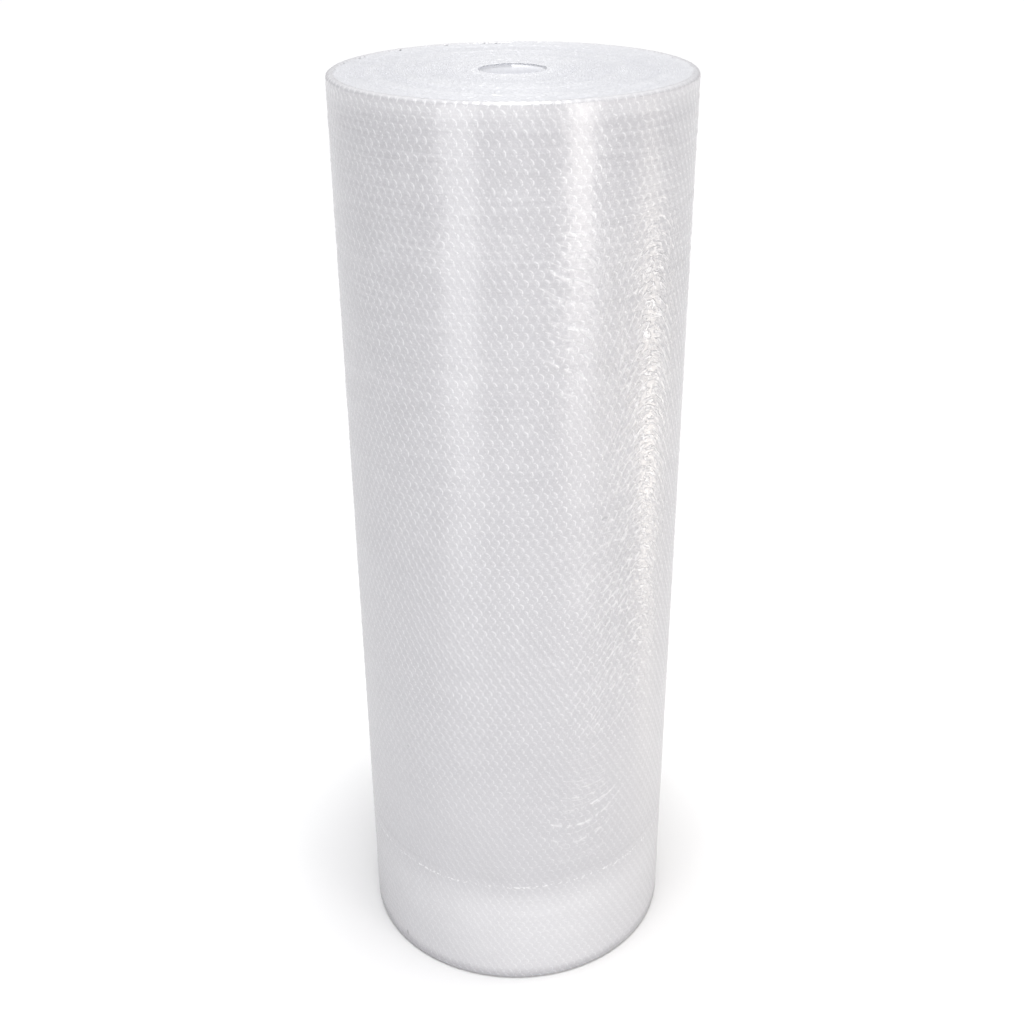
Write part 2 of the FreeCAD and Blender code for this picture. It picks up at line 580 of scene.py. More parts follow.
@dataclass
class OuterFilm:
    """The outermost turn: flat film drawn over the bubbles, with its creases."""

    form: RollForm
    lattice: BubbleLattice
    bands: int = 4
    creases: Sequence[Crease] = (
        Crease(0.170, 0.0009),
        Crease(0.905, 0.0008),
        Crease(0.997, 0.0008),
        Crease(1.062, 0.0005, 0.003),
        Crease(1.118, 0.0006, 0.003),
        Crease(0.842, 0.0005, 0.003),
        Crease(0.760, 0.0004, 0.003),
    )
    rim_rows: int = 2
    rim_rings: int = 24
    rim_overlap: float = 0.25
    steps_per_bubble: int = 10
    ripple_height: float = 0.0009
    sag_height: float = 0.0005
    fray_height: float = 0.0022
    crease_wander: float = 0.012
    fold_wander: float = 0.010
    rim_sink: float = 0.0006
    top_room: float = 0.0015
    patches: Sequence[SlackPatch] = (
        SlackPatch(0.84, 0.22, 0.84, 0.24, 0.0011, 0.019, 1.2),
        SlackPatch(0.33, 0.16, 0.97, 0.12, 0.0011, 0.026, -0.5),
        SlackPatch(0.52, 0.18, 0.54, 0.16, 0.0005, 0.020, 0.0, -0.30),
        SlackPatch(0.45, 0.22, 0.27, 0.06, 0.0006, 0.030, -0.35, -0.05),
        SlackPatch(-2.30, 0.50, 0.72, 0.30, 0.0005, 0.024, 0.20, 0.15),
        SlackPatch(2.40, 0.35, 0.60, 0.25, 0.0006, 0.021, 0.9),
    )
    pieces: list[bpy.types.Object] = field(default_factory=list)

    def rows(self) -> int:
        """Count the rows over the wall, its rims and the lips past them."""
        return int(round(self.length() / self.lattice.row_step(self.form)))

    def length(self) -> float:
        """Length of film from the inner edge of the base lip to that of the top lip."""
        form = self.form
        return form.height - 2.0 * form.rim + math.pi * form.rim + 2.0 * form.lip

    def build(self, material: bpy.types.Material) -> None:
        """Make the wall in bands of bubbles and the two rims, each a piece of its own.

        Args:
            material: The film's finish.
        """
        rows = self.rows() - 2 * self.rim_rows
        per_band = math.ceil(rows / self.bands)
        for band in range(self.bands):
            first = band * per_band
            count = min(per_band, rows - first)
            tree = self._band_tree(self.rim_rows + first, count)
            name = f"outer_film_{band + 1}"
            self.pieces.append(tree.run(name, material, self.lattice.cell(self.form)))
        for end in RollEnd:
            name = f"{end.name.lower()}_rim_film"
            self.pieces.append(self._rim_tree(end).run(name, material))

    def _cells(self, tree: Tree, first: Field, count: Field) -> Field:
        """Lay the cells of one band out flat, with half cells along the free edge.

        Args:
            tree: The tree to add to.
            first: The band's first row.
            count: How many rows it has.

        Returns:
            The flat film.
        """
        graph = tree.graph
        pitch = tree.size("Bubble Pitch", self.lattice.pitch(self.form))
        step = tree.size("Row Step", self.length() / self.rows())
        columns = tree.whole("Columns", self.lattice.columns)
        cell = graph.out(tree.start, "Geometry")
        x, _, _ = graph.parts(graph.out(graph.node("GeometryNodeInputPosition")))
        hair = 1e-6
        right_of = graph.math("GREATER_THAN", x, hair)
        left_of = graph.math("LESS_THAN", x, -hair)
        trim = "GeometryNodeDeleteGeometry"
        left_half = graph.out(graph.node(trim, {"Geometry": cell, "Selection": right_of}))
        right_half = graph.out(graph.node(trim, {"Geometry": cell, "Selection": left_of}))

        index = graph.out(graph.node("GeometryNodeInputIndex"))
        row = graph.math("FLOOR", index / columns)
        column = index - row * columns
        odd = graph.math("MODULO", row + first, 2.0)
        across = (column + 0.5 + 0.5 * odd) * pitch
        along = (row + first + 0.5) * step
        spots = graph.out(graph.node(
            "GeometryNodePoints", {0: columns * count, 1: graph.vector(across, along, 0.0)}
        ))
        last = graph.math("COMPARE", column, columns - 1.0, 0.1)
        cut_off = odd * last

        edge_odd = graph.math("MODULO", index + first, 2.0)
        edge_along = (index + first + 0.5) * step
        edge_spots = graph.out(graph.node(
            "GeometryNodePoints", {0: count, 1: graph.vector(0.0, edge_along, 0.0)}
        ))
        laid = [
            self._lay(tree, spots, cell, 1.0 - cut_off),
            self._lay(tree, spots, left_half, cut_off),
            self._lay(tree, edge_spots, right_half, edge_odd),
        ]
        join = graph.node("GeometryNodeJoinGeometry")
        for part in laid:
            graph.feed(join.inputs[0], part)
        return tree.weld(graph.out(graph.node("GeometryNodeRealizeInstances", {0: graph.out(join)})))

    def _lay(self, tree: Tree, spots: Field, cell: Field, chosen: Field) -> Field:
        """Put a cell on each chosen spot, each bubble with its own fullness and tone.

        Args:
            tree: The tree to add to.
            spots: The places of the bubbles.
            cell: The cell, or a half of it.
            chosen: Which spots take it.

        Returns:
            The laid cells.
        """
        graph = tree.graph
        fullness = graph.node(
            "FunctionNodeRandomValue", {2: 0.7, 3: 1.3, "Seed": SEED}, data_type="FLOAT"
        )
        size = graph.vector(1.0, 1.0, graph.out(fullness, 1))
        feeds = {"Points": spots, "Instance": cell, "Selection": chosen, "Scale": size}
        laid = graph.out(graph.node("GeometryNodeInstanceOnPoints", feeds))
        tone = graph.node(
            "FunctionNodeRandomValue", {2: 0.0, 3: 1.0, "Seed": SEED + 1}, data_type="FLOAT"
        )
        return tree.store(laid, "bubble_tone", graph.out(tone, 1), domain=Domain.INSTANCE)

    def _slack(self, graph: Graph, azimuth: Field, level: Field, shift: Field) -> tuple[Field, ...]:
        """Work out the wrinkles of the slack patches.

        Args:
            graph: The tree to add to.
            azimuth: The angle from the viewer's side.
            level: The height on the wall.
            shift: A slow noise that lets the wrinkles wander.

        Returns:
            Their relief in metres, their phase and how slack the film is.
        """
        relief: Operand = 0.0
        phase: Operand = 0.0
        mask: Operand = 0.0
        for patch in self.patches:
            off = azimuth - patch.azimuth
            place = graph.bell(azimuth, patch.azimuth, patch.spread)
            share = place * graph.bell(level, patch.height, patch.reach)
            run = level + patch.arch * off * off + patch.slope * off + self.fold_wander * shift
            turn = run * (math.pi / patch.spacing)
            ridge = (1.0 - graph.math("ABSOLUTE", graph.math("SINE", turn))) ** 3.0
            relief = share * ridge * patch.depth + relief
            phase = share * turn + phase
            mask = share + mask
        return relief, phase / graph.math("MAXIMUM", mask, 0.001), mask

    def _band_tree(self, first_row: int, row_count: int) -> Tree:
        """Build the tree that lays one band's cells and wraps them round the roll.

        Args:
            first_row: The band's first row.
            row_count: How many rows it has.

        Returns:
            The tree.
        """
        tree = Tree("bubble_band")
        graph = tree.graph
        first = tree.whole("First Row", first_row)
        count = tree.whole("Row Count", row_count)
        flat = self._cells(tree, first, count)
        place = graph.out(graph.node("GeometryNodeInputPosition"))
        across, along, proud = graph.parts(place)
        self._wrap(tree, flat, across, along, proud)
        return tree

    def _rim_tree(self, end: RollEnd) -> Tree:
        """Build the tree that rolls a fine strip of film over one rim.

        Args:
            end: The roll's end.

        Returns:
            The tree.
        """
        tree = Tree("rim_film")
        graph = tree.graph
        form = self.form
        girth = tree.size("Strip Length", form.girth)
        step = self.length() / self.rows()
        width = (self.rim_rows + self.rim_overlap) * step
        reach = tree.size("Strip Width", width)
        steps = tree.whole("Steps", self.lattice.columns * self.steps_per_bubble + 1)
        strip, turned, share = tree.sheet(steps, tree.whole("Rings", self.rim_rings))
        start = 0.0 if end is RollEnd.BASE else self.length() - width
        across = turned * girth
        along = share * reach + start
        pitch = self.lattice.pitch(form)
        far, _ = graph.hex_place(across / pitch, along / step - 0.5)
        inside = graph.math("MAXIMUM", 1.0 - (far / self.lattice.rim_share) ** 2.0, 0.0)
        outside = graph.ramp(far, self.lattice.rim_share, 0.577)
        shoulder = self.lattice.shoulder
        spot = graph.vector(across, along, 0.0)
        fullness = graph.noise(spot, 60.0, 1.0) * 1.2 + 0.5
        proud = (inside * (1.0 - shoulder) + shoulder) * (1.0 - outside)
        proud = proud * fullness * self.lattice.dome
        hidden = share if end is RollEnd.BASE else 1.0 - share
        proud = proud - graph.ramp(hidden, 0.82, 0.93) * 0.0002
        near = graph.math("MINIMUM", far / self.lattice.rim_share, 1.0)
        strip = tree.store(strip, "bubble_edge", near - outside * (1.0 - self.lattice.land_mark))
        strip = tree.store(strip, "bubble_tone", graph.noise(spot, 90.0, 1.0))
        self._wrap(tree, strip, across, along, proud)
        return tree

    def _wrap(self, tree: Tree, flat: Field, across: Field, along: Field, proud: Field) -> None:
        """Crease flat film, wrap it round the roll and turn it in over both ends.

        Args:
            tree: The tree to end.
            flat: The flat film.
            across: Place along the hoop, from the free edge.
            along: Place from the inner edge of the base lip.
            proud: Height of the bubble relief.
        """
        form = self.form
        graph = tree.graph
        girth = tree.size("Girth", form.girth)
        rim = tree.size("Rim Rounding", form.rim)
        lip = tree.size("Lip", form.lip)
        height = tree.size("Roll Height", form.height)
        flat = tree.store(flat, "sheet", graph.vector(across, along, proud), Kind.VECTOR)
        across = graph.limit(across, 0.0, girth)
        angle = across / girth * TURN
        azimuth = math.pi - angle
        run = graph.limit(along, 0.0, self.length()) - lip - rim * QUARTER_TURN
        bend = Bend.over(graph, run, height - 2.0 * rim, rim)
        level = bend.level
        tuck = (bend.past_top - bend.past_base) * 0.5
        at_rim = 1.0 - bend.facing

        sine = graph.math("SINE", angle)
        cosine = graph.math("COSINE", angle)
        shift = graph.noise(graph.vector(0.8 * sine, 0.8 * cosine, level * 3.0), 4.0, 2.0) - 0.5
        hoops = graph.vector(0.5 * sine, 0.5 * cosine, level * 55.0)
        streak = graph.noise(hoops, 1.6, 3.0, 0.6) - 0.5
        upper = 0.35 + graph.math("SMOOTH_MIN", level / 1.0, 1.0, 0.2)
        fray = graph.noise(graph.vector(sine, cosine, along), 45.0, 3.0, 0.7) - 0.5
        relief = proud * (1.0 - 0.5 * at_rim) + streak * upper * self.ripple_height
        relief = relief + shift * self.sag_height + fray * at_rim * self.fray_height
        for crease in self.creases:
            wander = level + shift * self.crease_wander
            groove = graph.bell(wander, crease.height, crease.half_width)
            relief = relief - groove * crease.depth
        wrinkles, phase, slackness = self._slack(graph, azimuth, level, shift)
        relief = relief + wrinkles
        # The third value, how far the film has turned over the rim, makes the marks paint it paler
        # there: painted light.
        folds = graph.vector(phase, slackness, at_rim)
        flat = tree.store(flat, "film_folds", folds, Kind.VECTOR)

        x, y = form.wall(graph, angle, bend.turned - relief * bend.facing)
        z = level + rim + rim * bend.rise + (relief - self.rim_sink) * bend.rise - tuck
        tree.finish(tree.move(flat, x, y, graph.limit(z, 0.0, height + self.top_room)))


@dataclass
class WoundEnd:
    """One end of the roll: the film edges of all the turns, wound in a spiral."""

    form: RollForm
    end: RollEnd
    turn_pitch: float = 0.0031
    steps_per_turn: int = 360
    across: int = 4
    bubble_pitch: float = 0.01075
    pit_depth: float = 0.0018
    bubble_height: float = 0.0007
    mean_depth: float = 0.0021
    pucker_height: float = 0.0064
    wave_height: float = 0.0022
    swell_height: float = 0.0044
    rim_rise: float = 0.0010
    rim_blend: float = 0.012
    eye_blend: float = 0.010
    eye_gap: float = 0.0005
    skin: float = 0.0003
    shade_depth: float = 0.0050
    pieces: list[bpy.types.Object] = field(default_factory=list)

    def build(self, material: bpy.types.Material) -> None:
        """Make the end as one piece.

        Args:
            material: The finish of the film edges.
        """
        self.pieces.append(self._tree().run(f"{self.end.name.lower()}_film_edges", material))

    def _tree(self) -> Tree:
        """Build the tree that winds a ribbon of film edges from the rim to the eye.

        Returns:
            The tree.
        """
        form = self.form
        tree = Tree("film_edge_spiral")
        graph = tree.graph
        pitch = tree.size("Turn Pitch", self.turn_pitch)
        web = tree.size("Web Thickness", form.web)
        start = form.radius + form.web - form.rim
        outer = tree.size("Outer Radius", start)
        turns = int((start - form.web - form.eye) / self.turn_pitch) + 1
        count = tree.whole("Steps", turns * self.steps_per_turn + 1)
        ribbon, wound, lane = tree.sheet(count, tree.whole("Lanes", self.across))
        turned = wound * float(turns)
        if self.end is RollEnd.TOP:
            lane = 1.0 - lane

        def spiral(count_of_turns: Field) -> Field:
            """Place the edge of a turn.

            Args:
                count_of_turns: Turns made since the rim.

            Returns:
                Its radius.
            """
            first = graph.math("MINIMUM", count_of_turns, 1.0)
            rest = graph.math("MAXIMUM", count_of_turns - 1.0, 0.0)
            return outer - web * first - pitch * rest

        outside = spiral(turned)
        inside = spiral(turned + 1.0)
        innermost = form.eye + self.eye_gap
        reach = graph.math("MAXIMUM", outside + lane * (inside - outside), innermost)
        sine = graph.math("SINE", turned * TURN)
        cosine = graph.math("COSINE", turned * TURN)
        px = reach * sine
        py = reach * cosine

        plan = graph.vector(px, py, 0.0)
        pucker = graph.noise(plan, 330.0, 3.0, 0.75) - 0.5
        wave = graph.noise(plan, 60.0, 2.0) - 0.5
        swell = graph.noise(graph.vector(reach * 75.0, sine * 0.5, cosine * 0.5), 1.0, 2.0) - 0.5
        travel = (outer * outer - reach * reach) * (math.pi / self.turn_pitch)
        bubble = graph.math("SINE", travel * (TURN / self.bubble_pitch))
        between = 1.0 - graph.math("ABSOLUTE", lane * 2.0 - 1.0)
        pit = graph.math("MINIMUM", between * 1.6, 1.0)
        inner_edge = graph.math("GREATER_THAN", lane, 0.5) - graph.math("GREATER_THAN", lane, 0.9)
        near_rim = graph.bell(reach, start, self.rim_blend)
        near_eye = graph.bell(reach, form.eye, self.eye_blend)
        drop = (1.0 - 0.8 * near_rim) * pit * self.pit_depth * (0.6 + 1.4 * pucker)
        drop = drop - inner_edge * bubble * self.bubble_height
        rough = pucker * self.pucker_height + wave * self.wave_height + swell * self.swell_height
        rough = rough * (1.0 - 0.5 * near_rim)
        depth = self.mean_depth + rough - near_rim * self.rim_rise
        depth = (graph.math("MAXIMUM", depth, 0.0002) + drop) * (1.0 - near_eye * 0.5)
        if self.end is RollEnd.TOP:
            z = graph.math("MINIMUM", form.height - depth, form.height - self.skin)
        else:
            z = graph.math("MAXIMUM", depth, self.skin)
        # Painted light and shade: film edges that stand high are paler, those sunk deep are darker.
        crest_shading = graph.limit(1.0 - depth / self.shade_depth, 0.0, 1.0)
        ribbon = tree.store(ribbon, "bubble_edge", crest_shading)
        ribbon = tree.store(ribbon, "bubble_tone", graph.noise(plan, 260.0, 1.0))
        ribbon = tree.store(ribbon, "sheet", graph.vector(travel, reach, depth), Kind.VECTOR)
        tree.finish(tree.weld(tree.move(ribbon, px, py, z)))
        return tree


@dataclass
class WindingEye:
    """The open eye: the innermost turn seen from inside, turned out over both ends."""

    form: RollForm
    rim: float = 0.008
    flare: float = 0.003
    rings: int = 260
    sides: int = 132
    slack_height: float = 0.0006
    clearance: float = 0.0004
    sink: float = 0.0014
    end_gap: float = 0.0010
    lip_light: float = 0.3
    pieces: list[bpy.types.Object] = field(default_factory=list)

    def build(self, material: bpy.types.Material) -> None:
        """Make the eye's wall as one piece.

        Args:
            material: The eye's finish.
        """
        self.pieces.append(self._tree().run("eye_wall", material))

    def _tree(self) -> Tree:
        """Build the tree that rolls a dimpled sheet into the eye's wall.

        Returns:
            The tree.
        """
        form = self.form
        tree = Tree("eye_wall")
        graph = tree.graph
        rim = tree.size("Eye Rounding", self.rim)
        eye = tree.size("Eye Radius", form.eye)
        flare = tree.size("Flare", self.flare)
        sides = tree.whole("Sides", self.sides + 1)
        wall, turned, share = tree.sheet(sides, tree.whole("Rings", self.rings + 1))
        sine = graph.math("SINE", turned * TURN)
        cosine = graph.math("COSINE", turned * TURN)
        straight = form.height - 2.0 * self.rim
        length = straight + math.pi * self.rim + 2.0 * self.flare
        run = share * length - flare - rim * QUARTER_TURN
        bend = Bend.over(graph, run, straight, rim)
        ring = graph.vector(sine * 0.3, cosine * 0.3, bend.level * 6.0)
        slack = graph.noise(ring, 9.0, 2.0) - 0.5
        reach = eye + bend.turned + self.clearance + slack * self.slack_height
        tuck = (bend.past_top - bend.past_base) * 0.8
        z = bend.level + rim + (rim - self.sink) * bend.rise - tuck
        z = graph.limit(z, self.end_gap, form.height - self.end_gap)
        # Painted light: the eye's lip is paler the further it turns over, over the shade in the bend.
        lip = (1.0 - bend.facing) * self.lip_light
        place = graph.vector(turned * (TURN * form.eye), run, 0.0)
        wall = tree.store(wall, "bubble_edge", slack + 0.5)
        wall = tree.store(wall, "bubble_tone", slack + 0.5)
        wall = tree.store(wall, "film_folds", graph.vector(0.0, 0.0, lip), Kind.VECTOR)
        wall = tree.store(wall, "sheet", place, Kind.VECTOR)
        rolled = tree.weld(tree.move(wall, reach * sine, reach * cosine, z))
        tree.finish(graph.out(graph.node("GeometryNodeFlipFaces", {"Mesh": rolled})))
        return tree


@dataclass
class FreeEdge:
    """The cut edge of the film at the back, where the outermost turn ends."""

    form: RollForm
    lattice: BubbleLattice
    bulge: float = 0.0014
    steps_per_row: int = 6
    lanes: int = 5
    overlap: float = 0.001
    pieces: list[bpy.types.Object] = field(default_factory=list)

    def build(self, material: bpy.types.Material) -> None:
        """Make the edge as one piece.

        Args:
            material: The film's finish.
        """
        self.pieces.append(self._tree().run("free_film_edge", material))

    def _tree(self) -> Tree:
        """Build the tree that runs a strip of cut bubbles up the step at the back.

        Returns:
            The tree.
        """
        form = self.form
        tree = Tree("free_edge")
        graph = tree.graph
        step = self.lattice.row_step(form)
        rows = int(form.height / step)
        bulge = tree.size("Bulge", self.bulge)
        steps = tree.whole("Steps", rows * self.steps_per_row + 1)
        strip, climbed, lane = tree.sheet(steps, tree.whole("Lanes", self.lanes))
        level = climbed * (form.height - 2.0 * form.rim) + form.rim
        wave = graph.math("ABSOLUTE", graph.math("SINE", level * (math.pi / step)))
        out = -1.0 * bulge * wave * graph.math("SINE", lane * math.pi)
        depth = form.web + self.overlap
        py = lane * depth + (form.radius - self.overlap)
        strip = tree.store(strip, "bubble_edge", 1.0 - wave)
        strip = tree.store(strip, "bubble_tone", wave)
        strip = tree.store(strip, "sheet", graph.vector(lane * depth, level, 0.0), Kind.VECTOR)
        tree.finish(tree.move(strip, out, py, level))
        return tree


@dataclass(frozen=True)
class InnerTurn:
    """A turn of film seen through the ones outside it, as a lattice of its own."""

    shift: tuple[float, float]
    drift: float
    strength: float
    radius: float
    line: float = 0.070


@dataclass(frozen=True)
class Paleness:
    """How much each mark lightens the film, or darkens it, from the plain film's share."""

    plain: float = 0.27
    # Painted highlight: glints on the bubble rims.
    painted_glint: float = 0.36
    well: float = -0.05
    tone: float = 0.03
    fine: float = 0.30
    hoop: float = 0.26
    hair: float = 0.08
    fold: float = 0.75
    cloud: float = 0.14
    broad: float = 0.12
    # Painted light: paler as the film turns up over a rim or the eye's lip, and near the top of the
    # wall.
    rim: float = 0.50
    brow_light: float = 0.22
    # Painted light at the foot, painted glints along its crease and a painted shadow where it meets
    # the floor:
    foot: float = 0.37
    hem_glint: float = 0.60
    contact_shadow: float = -0.62
    # Painted highlights and painted shade of the wrinkles on the right.
    crumple_and_sheen: float = 0.50


@dataclass(frozen=True)
class BubbleMarks:
    """A shader group: the pale rings, creases and clouding of wound bubble film, with painted glints,
    painted highlights and painted shade.
    """

    pitch: float
    row_step: float
    height: float
    hem_height: float = 0.168
    slack_azimuth: float = 0.82
    least_clear: float = 0.55
    turns: Sequence[InnerTurn] = (
        InnerTurn((0.0, 0.0), 0.0, 1.0, 0.42),
        InnerTurn((0.47, 0.91), 1.4, 0.75, 0.41),
        InnerTurn((0.71, 0.37), 2.3, 0.55, 0.40),
    )
    share: Paleness = Paleness()

    def build(self) -> bpy.types.NodeTree:
        """Make the group once.

        Returns:
            A group that gives a paleness mask, two heights and a haze mask.
        """
        group = bpy.data.node_groups.new("bubble_marks", "ShaderNodeTree")
        for name in ("Ring Strength", "Streak Strength", "Cloud Strength", "Crest Shade Strength"):
            item = group.interface.new_socket(name, in_out="INPUT", socket_type="NodeSocketFloat")
            item.default_value = 1.0
        for name in ("Paleness", "Relief", "Ripple", "Haze"):
            group.interface.new_socket(name, in_out="OUTPUT", socket_type="NodeSocketFloat")
        graph = Graph(group)
        start = graph.node("NodeGroupInput")
        rings, streaks, clouds, crest_shade = (graph.out(start, number) for number in range(4))
        place = graph.out(graph.node("ShaderNodeTexCoord"), "Object")
        tone = self._attribute(graph, "bubble_tone", "Fac")
        edge = self._attribute(graph, "bubble_edge", "Fac")
        phase, slack, rim = graph.parts(self._attribute(graph, "film_folds", "Vector"))
        sheet = self._attribute(graph, "sheet", "Vector")

        rim_glints, wells = self._lattices(graph, sheet, place)
        hoops, hairs = self._hoops(graph, place)
        folds = self._folds(graph, place, phase, slack)
        fine = graph.noise(place, 700.0, 3.0, 0.65) - 0.5
        cloud = graph.noise(place, 24.0, 3.0, 0.6) - 0.5
        broad = graph.noise(place, 7.0, 2.0, 0.5) - 0.5
        # The wrinkles on the right also paint highlights and shade into the film's colour.
        crumple_and_sheen = self._crumple(graph, place) * streaks
        foot, hem_glint, contact_shadow = self._hem(graph, place, cloud)

        level = graph.parts(place)[2]
        clear = graph.ramp(level, 0.20, 0.60) * (1.0 - self.least_clear) + self.least_clear
        # Painted light: paler near the top of the wall.
        brow_light = graph.ramp(level, self.height - 0.030, self.height - 0.010)
        share = self.share
        # Painted highlight: the rim glints lighten the film's colour.
        grain = (rim_glints * share.painted_glint + wells * share.well) * rings + (tone - 0.5) * share.tone
        # Painted light and shade on the ends, following the height of their film edges.
        grain = grain + fine * share.fine + (edge - 0.5) * crest_shade
        grain = grain * (clear * streaks + 1.0 - streaks)
        streaked = hoops * share.hoop + hairs * share.hair + folds * share.fold
        streaked = streaked + brow_light * share.brow_light + foot * share.foot
        streaked = streaked + hem_glint * share.hem_glint + contact_shadow * share.contact_shadow
        clouded = cloud * share.cloud + broad * share.broad
        pale = share.plain + grain + streaked * streaks + clouded * clouds
        # Painted light: paler as the film turns up over a rim or lip; the wrinkles on the right add
        # painted highlights and painted shade.
        pale = pale + graph.ramp(rim, 0.0, 0.6) * share.rim + crumple_and_sheen * share.crumple_and_sheen
        relief = rim_glints * rings * 0.6 + fine * 0.8 + crumple_and_sheen * 1.4
        ripple = (hoops * 0.9 + folds * 1.5) * streaks + cloud * 2.4 + crumple_and_sheen * 1.6
        haze = graph.limit(0.5 + cloud * 1.2 + (tone - 0.5) * 0.1, 0.0, 1.0)
        end = graph.node("NodeGroupOutput")
        graph.feed(end.inputs["Paleness"], graph.limit(pale, 0.0, 1.0))
        graph.feed(end.inputs["Relief"], relief)
        graph.feed(end.inputs["Ripple"], ripple)
        graph.feed(end.inputs["Haze"], haze)
        return group

    def _lattices(self, graph: Graph, sheet: Field, place: Field) -> tuple[Field, Field]:
        """Draw painted glints on the bubble rims of several turns, lit on each bubble's upper left,
        with a painted reflection inside each rim, and the wells inside them.

        Args:
            graph: The group to add to.
            sheet: Place on the flat film.
            place: Place on the roll.

        Returns:
            The painted glints and the wells.
        """
        across, along, _ = graph.parts(sheet)
        broken = graph.noise(place, 420.0, 2.0, 0.6)
        wander = graph.noise(place, 5.0, 1.0)
        jitter = graph.noise(place, 130.0, 1.0) - 0.5
        rim_glints: Operand = 0.0
        wells: Operand = 0.0
        for number, turn in enumerate(self.turns):
            drift = (wander - 0.5) * turn.drift
            u = across / self.pitch + drift + turn.shift[0] + jitter * 0.14
            v = along / self.row_step - 0.5 + drift * 0.7 + turn.shift[1] - jitter * 0.14
            reach, lean = graph.hex_place(u, v)
            # Painted highlight: each rim is lit only on its upper-left arc, as if by a lamp.
            arc = graph.ramp(broken, 0.34 + 0.04 * number, 0.54) * graph.ramp(lean, 0.05, 0.34)
            painted_glint = graph.bell(reach, turn.radius, turn.line)
            # Painted reflection: a smaller arc inside each rim.
            painted_glint = painted_glint + graph.bell(reach, 0.5 * turn.radius, turn.line) * 0.6
            rim_glints = painted_glint * arc * turn.strength + rim_glints
            wells = graph.bell(reach, 0.0, 0.26) * (turn.strength ** 3.0) + wells
        return rim_glints, wells

    def _hoops(self, graph: Graph, place: Field) -> tuple[Field, Field]:
        """Draw the fine ripples and the hair-thin creases that run round the roll.

        Args:
            graph: The group to add to.
            place: Place on the roll.

        Returns:
            The ripples and the creases.
        """
        x, y, z = graph.parts(place)
        upper = 0.35 + 0.65 * graph.ramp(z, 0.55, 0.95)
        flow = graph.vector(x * 16.0, y * 16.0, z * 330.0)
        hoops = (graph.noise(flow, 1.0, 3.0, 0.65) - 0.5) * upper
        slow = graph.vector(x * 7.0, y * 7.0, z * 75.0)
        level = graph.noise(slow, 1.0, 1.0)
        hairs = graph.bell(level, 0.5, 0.030) * upper
        return hoops, hairs

    def _crumple(self, graph: Graph, place: Field) -> Field:
        """Draw the feathery creases that climb the slack film on the viewer's right: bumps, with
        painted highlights on their ridges and painted shade between them.

        Args:
            graph: The group to add to.
            place: Place on the roll.

        Returns:
            The creases, 0 elsewhere.
        """
        azimuth, z = self._spot(graph, place)
        off = azimuth - self.slack_azimuth
        here = graph.bell(off, 0.0, 0.28) * graph.ramp(z, 0.32, 0.58)
        here = here * (1.0 - graph.ramp(z, 0.98, 1.10))
        climb = graph.vector(azimuth * 17.0, (z + off * off * 0.9) * 150.0, 0.0)
        # Painted highlights on the ridges, painted shade between them where this falls below 0.
        strokes = graph.ramp(graph.noise(climb, 1.0, 2.0, 0.6), 0.50, 0.62) - 0.15
        return strokes * here

    def _hem(self, graph: Graph, place: Field, cloud: Field) -> tuple[Field, Field, Field]:
        """Paint light and shade on the foot of the roll.

        Args:
            graph: The group to add to.
            place: Place on the roll.
            cloud: A slow noise that lets the hem wander.

        Returns:
            The painted light of the paler foot, the dotted painted glints along its crease and the
            painted shadow where it meets the floor.
        """
        azimuth, z = self._spot(graph, place)
        level = z + cloud * 0.006
        # Painted light: paler low down, most on the side facing the viewer, as if lit from the floor.
        foot = 1.0 - graph.ramp(level, self.hem_height - 0.048, self.hem_height + 0.017)
        foot = foot * (graph.bell(azimuth, 0.15, 0.80) * 0.8 + 0.2)
        # Painted highlight: a dotted bright line along the crease.
        dots = graph.ramp(graph.noise(place, 260.0, 1.0), 0.50, 0.62)
        hem_glint = graph.bell(level, self.hem_height, 0.0015) * dots
        grit = graph.noise(place, 330.0, 2.0) * 0.008
        # Painted shadow: darker in the last centimetres above the floor.
        contact_shadow = 1.0 - graph.ramp(level + grit, 0.006, 0.026)
        return foot, hem_glint, contact_shadow

    def _folds(self, graph: Graph, place: Field, phase: Field, slack: Field) -> Field:
        """Draw the sharp ridges of the slack patches over their modelled swell.

        Args:
            graph: The group to add to.
            place: Place on the roll.
            phase: The phase of the modelled wrinkles.
            slack: How slack the film is.

        Returns:
            The ridges.
        """
        sway = graph.noise(place, 55.0, 2.0) * 1.3
        broken = graph.ramp(graph.noise(place, 90.0, 2.0), 0.38, 0.62)
        ridge = (1.0 - graph.math("ABSOLUTE", graph.math("SINE", phase + sway))) ** 4.0
        second = (1.0 - graph.math("ABSOLUTE", graph.math("SINE", phase * 2.3 - sway))) ** 5.0
        return (ridge + second * 0.6) * broken * graph.limit(slack, 0.0, 1.0)

    @staticmethod
    def _spot(graph: Graph, place: Field) -> tuple[Field, Field]:
        """Find a place on the roll by its angle and its height.

        Args:
            graph: The group to add to.
            place: Place on the roll.

        Returns:
            The angle from the viewer's side, positive to the right, and the height.
        """
        x, y, z = graph.parts(place)
        return graph.math("ARCTAN2", x, -1.0 * y), z

    @staticmethod
    def _attribute(graph: Graph, name: str, output: str) -> Field:
        """Read one of the attributes that the pieces carry."""
        made = graph.node("ShaderNodeAttribute", attribute_name=name, attribute_type="GEOMETRY")
        return graph.out(made, output)


